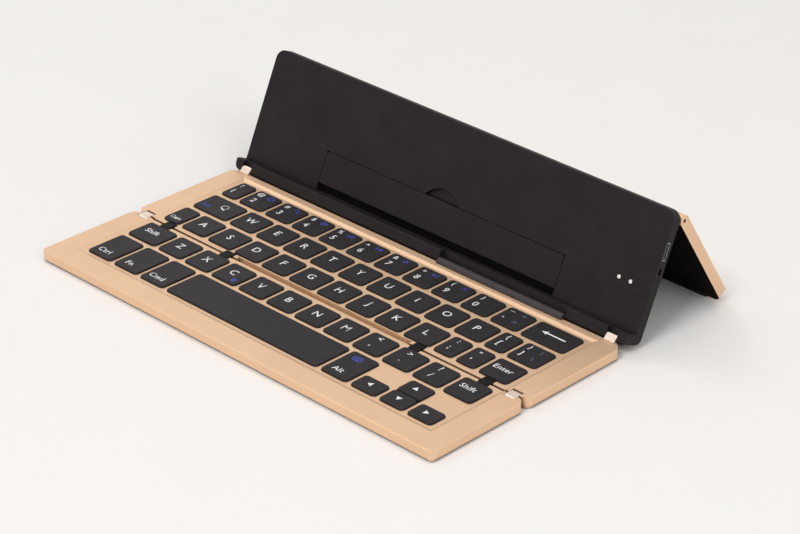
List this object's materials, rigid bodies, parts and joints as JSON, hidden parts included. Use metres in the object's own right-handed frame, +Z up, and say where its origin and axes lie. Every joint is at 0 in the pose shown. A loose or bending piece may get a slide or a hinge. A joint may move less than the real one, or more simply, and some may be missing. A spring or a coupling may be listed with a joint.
{
  "type": "folding keyboard",
  "caption": "Slim three-panel folding keyboard with a hinged device stand, prop panel, rest flap and pressable keys.",
  "frame": {"origin": "centre of the bounding box on the tabletop", "axes": "+X to the typist's right, +Y away from the typist towards the stand, +Z up"},
  "size_m": [0.22, 0.1746, 0.0538],
  "materials": {
    "gold_metal": "satin anodised",
    "black_plastic": "matte",
    "key_plastic": "satin",
    "black_rubber": "matte",
    "steel": "brushed",
    "ivory_metal": "satin",
    "black_metal": "satin",
    "grey_plastic": "matte",
    "board": "satin",
    "silicone": "matte",
    "cell_foil": "satin",
    "light_pipe": "gloss"
  },
  "bodies": {
    "middle_panel": {"middle_frame": "gold_metal", "middle_base": "black_plastic", "middle_key_board": "steel", "middle_dome_sheet": "silicone", "middle_feet": "black_rubber", "middle_screws": "steel", "middle_fold_pins": "steel", "hinge_tabs": "ivory_metal", "cable_guard": "grey_plastic"},
    "fold_links": {"end_links": "ivory_metal", "inner_links": "black_metal"},
    "front_panel": {"front_frame": "gold_metal", "front_base": "black_plastic", "front_key_board": "steel", "front_dome_sheet": "silicone", "front_feet": "black_rubber", "front_screws": "steel", "front_fold_pins": "steel"},
    "stand": {"stand_front": "black_plastic", "stand_back": "black_plastic", "battery": "cell_foil", "main_board": "board", "charging_port": "steel", "indicator_lights": "light_pipe", "stand_hinge_pins": "steel", "stand_screws": "steel"},
    "power_switch": {"power_switch": "black_plastic"},
    "rest_flap": {"rest_flap": "black_plastic", "flap_pins": "steel"},
    "rear_panel": {"rear_shell": "gold_metal", "rear_liner": "black_plastic", "rear_hinge_pins": "steel", "rear_foot": "black_rubber"},
    "one_key": {"one_key": "key_plastic"},
    "digit_keys": {"digit_keys": "key_plastic"},
    "minus_key": {"minus_key": "key_plastic"},
    "backspace_key": {"backspace_key": "key_plastic"},
    "q_key": {"q_key": "key_plastic"},
    "top_letter_keys": {"top_letter_keys": "key_plastic"},
    "left_bracket_key": {"left_bracket_key": "key_plastic"},
    "right_bracket_key": {"right_bracket_key": "key_plastic"},
    "caps_key": {"caps_key": "key_plastic"},
    "home_letter_keys": {"home_letter_keys": "key_plastic"},
    "semicolon_key": {"semicolon_key": "key_plastic"},
    "quote_key": {"quote_key": "key_plastic"},
    "enter_key": {"enter_key": "key_plastic"},
    "left_shift_key": {"left_shift_key": "key_plastic"},
    "lower_letter_keys": {"lower_letter_keys": "key_plastic"},
    "right_shift_key": {"right_shift_key": "key_plastic"},
    "control_key": {"control_key": "key_plastic"},
    "function_key": {"function_key": "key_plastic"},
    "command_key": {"command_key": "key_plastic"},
    "space_key": {"space_key": "key_plastic"},
    "alt_key": {"alt_key": "key_plastic"},
    "left_arrow_key": {"left_arrow_key": "key_plastic"},
    "up_arrow_key": {"up_arrow_key": "key_plastic"},
    "down_arrow_key": {"down_arrow_key": "key_plastic"},
    "right_arrow_key": {"right_arrow_key": "key_plastic"}
  },
  "joints": [
    {"name": "link_fold", "type": "hinge", "parent": "middle_panel", "child": "fold_links", "pos_m": [0, -0.0336, 0.00385], "axis": [-1, 0, 0], "range_deg": [0, 90]},
    {"name": "front_fold", "type": "hinge", "parent": "fold_links", "child": "front_panel", "pos_m": [0, -0.037, 0.00385], "axis": [-1, 0, 0], "range_deg": [0, 90]},
    {"name": "stand_fold", "type": "hinge", "parent": "middle_panel", "child": "stand", "pos_m": [0, 0.02324, 0.00652], "axis": [1, 0, 0], "range_deg": [0, 113.5]},
    {"name": "rear_fold", "type": "hinge", "parent": "stand", "child": "rear_panel", "pos_m": [0, 0.05481, 0.04797], "axis": [-1, 0, 0], "range_deg": [0, 57.5]},
    {"name": "flap_tilt", "type": "hinge", "parent": "stand", "child": "rest_flap", "pos_m": [0, 0.03116, 0.01077], "axis": [-1, 0, 0], "range_deg": [-90, 0]},
    {"name": "power_slide", "type": "slide", "parent": "stand", "child": "power_switch", "axis": [0, 0.3987, 0.9171], "range_m": [0, 0.0025]},
    {"name": "one_press", "type": "slide", "parent": "middle_panel", "child": "one_key", "axis": [0, 0, 1], "range_m": [-0.001, 0], "stiffness_N_per_m": 300, "springref_m": 0.0003},
    {"name": "digit_press", "type": "slide", "parent": "middle_panel", "child": "digit_keys", "axis": [0, 0, 1], "range_m": [-0.001, 0], "stiffness_N_per_m": 2700, "springref_m": 0.0003},
    {"name": "minus_press", "type": "slide", "parent": "middle_panel", "child": "minus_key", "axis": [0, 0, 1], "range_m": [-0.001, 0], "stiffness_N_per_m": 300, "springref_m": 0.0003},
    {"name": "backspace_press", "type": "slide", "parent": "middle_panel", "child": "backspace_key", "axis": [0, 0, 1], "range_m": [-0.001, 0], "stiffness_N_per_m": 300, "springref_m": 0.0003},
    {"name": "q_press", "type": "slide", "parent": "middle_panel", "child": "q_key", "axis": [0, 0, 1], "range_m": [-0.001, 0], "stiffness_N_per_m": 300, "springref_m": 0.0003},
    {"name": "top_letter_press", "type": "slide", "parent": "middle_panel", "child": "top_letter_keys", "axis": [0, 0, 1], "range_m": [-0.001, 0], "stiffness_N_per_m": 2700, "springref_m": 0.0003},
    {"name": "left_bracket_press", "type": "slide", "parent": "middle_panel", "child": "left_bracket_key", "axis": [0, 0, 1], "range_m": [-0.001, 0], "stiffness_N_per_m": 300, "springref_m": 0.0003},
    {"name": "right_bracket_press", "type": "slide", "parent": "middle_panel", "child": "right_bracket_key", "axis": [0, 0, 1], "range_m": [-0.001, 0], "stiffness_N_per_m": 300, "springref_m": 0.0003},
    {"name": "caps_press", "type": "slide", "parent": "middle_panel", "child": "caps_key", "axis": [0, 0, 1], "range_m": [-0.001, 0], "stiffness_N_per_m": 300, "springref_m": 0.0003},
    {"name": "home_letter_press", "type": "slide", "parent": "middle_panel", "child": "home_letter_keys", "axis": [0, 0, 1], "range_m": [-0.001, 0], "stiffness_N_per_m": 2700, "springref_m": 0.0003},
    {"name": "semicolon_press", "type": "slide", "parent": "middle_panel", "child": "semicolon_key", "axis": [0, 0, 1], "range_m": [-0.001, 0], "stiffness_N_per_m": 300, "springref_m": 0.0003},
    {"name": "quote_press", "type": "slide", "parent": "middle_panel", "child": "quote_key", "axis": [0, 0, 1], "range_m": [-0.001, 0], "stiffness_N_per_m": 300, "springref_m": 0.0003},
    {"name": "enter_press", "type": "slide", "parent": "middle_panel", "child": "enter_key", "axis": [0, 0, 1], "range_m": [-0.001, 0], "stiffness_N_per_m": 300, "springref_m": 0.0003},
    {"name": "left_shift_press", "type": "slide", "parent": "front_panel", "child": "left_shift_key", "axis": [0, 0, 1], "range_m": [-0.001, 0], "stiffness_N_per_m": 300, "springref_m": 0.0003},
    {"name": "lower_letter_press", "type": "slide", "parent": "front_panel", "child": "lower_letter_keys", "axis": [0, 0, 1], "range_m": [-0.001, 0], "stiffness_N_per_m": 3000, "springref_m": 0.0003},
    {"name": "right_shift_press", "type": "slide", "parent": "front_panel", "child": "right_shift_key", "axis": [0, 0, 1], "range_m": [-0.001, 0], "stiffness_N_per_m": 300, "springref_m": 0.0003},
    {"name": "control_press", "type": "slide", "parent": "front_panel", "child": "control_key", "axis": [0, 0, 1], "range_m": [-0.001, 0], "stiffness_N_per_m": 300, "springref_m": 0.0003},
    {"name": "function_press", "type": "slide", "parent": "front_panel", "child": "function_key", "axis": [0, 0, 1], "range_m": [-0.001, 0], "stiffness_N_per_m": 300, "springref_m": 0.0003},
    {"name": "command_press", "type": "slide", "parent": "front_panel", "child": "command_key", "axis": [0, 0, 1], "range_m": [-0.001, 0], "stiffness_N_per_m": 300, "springref_m": 0.0003},
    {"name": "space_press", "type": "slide", "parent": "front_panel", "child": "space_key", "axis": [0, 0, 1], "range_m": [-0.001, 0], "stiffness_N_per_m": 300, "springref_m": 0.0003},
    {"name": "alt_press", "type": "slide", "parent": "front_panel", "child": "alt_key", "axis": [0, 0, 1], "range_m": [-0.001, 0], "stiffness_N_per_m": 300, "springref_m": 0.0003},
    {"name": "left_arrow_press", "type": "slide", "parent": "front_panel", "child": "left_arrow_key", "axis": [0, 0, 1], "range_m": [-0.001, 0], "stiffness_N_per_m": 300, "springref_m": 0.0003},
    {"name": "up_arrow_press", "type": "slide", "parent": "front_panel", "child": "up_arrow_key", "axis": [0, 0, 1], "range_m": [-0.001, 0], "stiffness_N_per_m": 300, "springref_m": 0.0003},
    {"name": "down_arrow_press", "type": "slide", "parent": "front_panel", "child": "down_arrow_key", "axis": [0, 0, 1], "range_m": [-0.001, 0], "stiffness_N_per_m": 300, "springref_m": 0.0003},
    {"name": "right_arrow_press", "type": "slide", "parent": "front_panel", "child": "right_arrow_key", "axis": [0, 0, 1], "range_m": [-0.001, 0], "stiffness_N_per_m": 300, "springref_m": 0.0003}
  ],
  "couplings": [
    {"joint": "link_fold", "follows": "front_fold", "ratio": 1}
  ]
}
